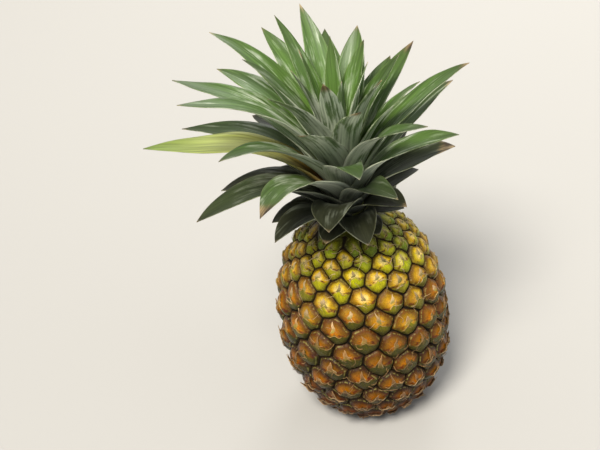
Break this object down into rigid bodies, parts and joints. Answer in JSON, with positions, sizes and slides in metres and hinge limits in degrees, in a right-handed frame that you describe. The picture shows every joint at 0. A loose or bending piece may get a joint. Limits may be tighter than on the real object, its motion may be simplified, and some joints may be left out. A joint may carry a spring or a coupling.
{
  "type": "pineapple",
  "caption": "Whole fresh pineapple with ripe yellow-green rind and its crown of stiff grey-green leaves, standing upright on its flat cut base.",
  "frame": {"origin": "centre of the flat cut base, on the surface that the pineapple stands on", "axes": "+Z from the cut base up through the fruit to the heart of the crown; +X and +Y across the fruit"},
  "size_m": [0.2276, 0.2015, 0.3174],
  "materials": {
    "rind": "satin, waxy eyes with dark grooves and dry bract tips",
    "stalk_fibre": "matte, dried cut fibre",
    "crown_stem": "matte, pale green fresh fibre",
    "outer_leaf": "satin, dark green under a grey bloom, dry tan tips",
    "inner_leaf": "satin, green above, silver-grey bloom below"
  },
  "bodies": {
    "root": {"fruit": "rind", "cut_stalk": "stalk_fibre", "crown_stem": "crown_stem", "leaf_01": "outer_leaf", "leaf_02": "outer_leaf", "leaf_03": "outer_leaf", "leaf_04": "outer_leaf", "leaf_05": "outer_leaf", "leaf_06": "outer_leaf", "leaf_07": "outer_leaf", "leaf_08": "outer_leaf", "leaf_09": "outer_leaf", "leaf_10": "outer_leaf", "leaf_11": "outer_leaf", "leaf_12": "outer_leaf", "leaf_13": "outer_leaf", "leaf_14": "outer_leaf", "leaf_15": "outer_leaf", "leaf_16": "outer_leaf", "leaf_17": "outer_leaf", "leaf_18": "outer_leaf", "leaf_19": "outer_leaf", "leaf_20": "inner_leaf", "leaf_21": "inner_leaf", "leaf_22": "inner_leaf", "leaf_23": "inner_leaf", "leaf_24": "inner_leaf", "leaf_25": "inner_leaf", "leaf_26": "inner_leaf", "leaf_27": "inner_leaf", "leaf_28": "inner_leaf", "leaf_29": "inner_leaf", "leaf_30": "inner_leaf", "leaf_31": "inner_leaf", "leaf_32": "inner_leaf", "leaf_33": "inner_leaf", "leaf_34": "inner_leaf", "leaf_35": "inner_leaf", "leaf_36": "inner_leaf", "leaf_37": "inner_leaf", "leaf_38": "inner_leaf", "leaf_39": "inner_leaf", "leaf_40": "inner_leaf", "leaf_41": "inner_leaf", "leaf_42": "inner_leaf", "leaf_43": "inner_leaf", "leaf_44": "inner_leaf", "leaf_45": "inner_leaf", "leaf_46": "inner_leaf", "leaf_47": "inner_leaf", "leaf_48": "inner_leaf", "leaf_49": "inner_leaf", "leaf_50": "inner_leaf", "leaf_51": "inner_leaf", "leaf_52": "inner_leaf", "leaf_53": "inner_leaf", "leaf_54": "inner_leaf", "leaf_55": "inner_leaf", "leaf_56": "inner_leaf", "leaf_57": "inner_leaf"}
  },
  "joints": []
}
